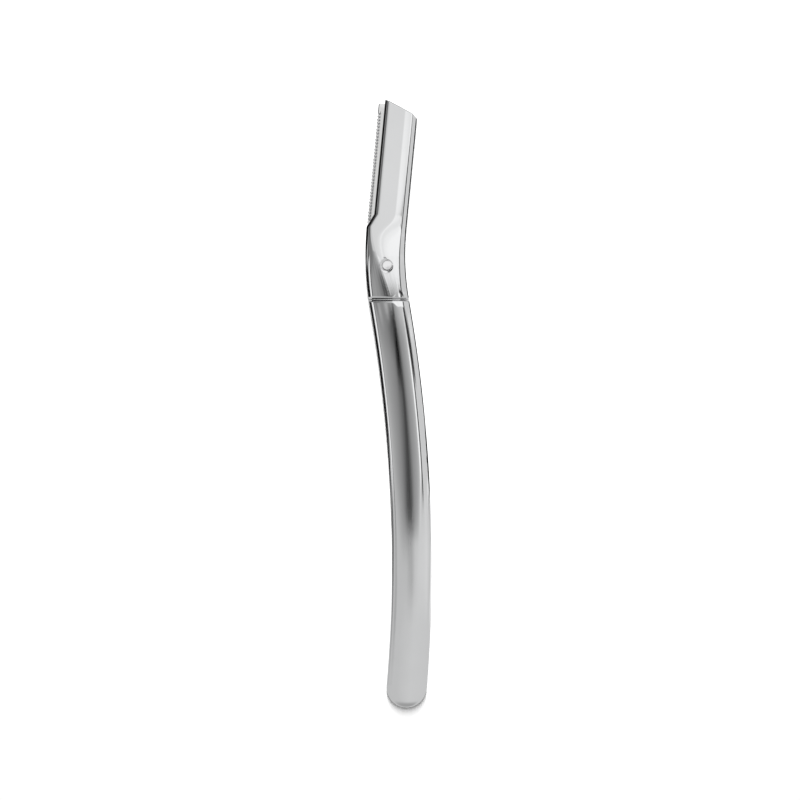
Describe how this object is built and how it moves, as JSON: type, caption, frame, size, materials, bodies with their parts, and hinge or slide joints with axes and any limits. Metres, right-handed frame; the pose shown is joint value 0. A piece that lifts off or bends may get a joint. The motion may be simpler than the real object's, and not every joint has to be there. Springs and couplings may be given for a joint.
{
  "type": "eyebrow razor",
  "caption": "Slim metal brow razor: bowed handle with a round end, leaning head plate, comb-guarded blade that slides out at the tip, push-button release.",
  "frame": {"origin": "on the flat back, on the bar's centre line at the middle of the handle's sideways bow", "axes": "+Y along the handle towards the head, +Z out of the polished face, +X to the right seen from the front, away from the comb"},
  "size_m": [0.0159, 0.1461, 0.0053],
  "materials": {
    "polished_shell": "mirror polished plating",
    "polished_button": "polished, flat top",
    "collar": "polished, in the shade of the groove",
    "blade_steel": "ground stainless strip",
    "guard_steel": "bright stamped stainless sheet",
    "inner_steel": "plain machined steel",
    "spring_steel": "dark tempered strip"
  },
  "bodies": {
    "razor": {"handle": "polished_shell", "seam_collar": "collar", "tang": "inner_steel", "tang_pins": "inner_steel", "head_front": "polished_shell", "head_back": "polished_shell", "head_screws": "inner_steel", "lever_pin": "inner_steel", "lever_spring": "spring_steel"},
    "button": {"release_button": "polished_button"},
    "lever": {"clamp_lever": "inner_steel"},
    "cartridge": {"blade": "blade_steel", "comb_guard": "guard_steel", "blade_spine": "inner_steel", "spine_rivets": "inner_steel"}
  },
  "joints": [
    {"name": "button_press", "type": "slide", "parent": "razor", "child": "button", "axis": [0, 0, -1], "range_m": [0, 0.0004], "stiffness_N_per_m": 2500, "springref_m": -0.0004, "deforming": ["lever_spring"]},
    {"name": "lever_rock", "type": "hinge", "parent": "razor", "child": "lever", "pos_m": [-0.00588, 0.0766, 0.00287], "axis": [1, 0, 0], "range_deg": [0, 4.2]},
    {"name": "blade_slide", "type": "slide", "parent": "razor", "child": "cartridge", "axis": [0.0958, 0.9954, 0], "range_m": [0, 0.03]}
  ],
  "couplings": [
    {"joint": "lever_rock", "follows": "button_press", "rad_per_m": 181.82}
  ]
}
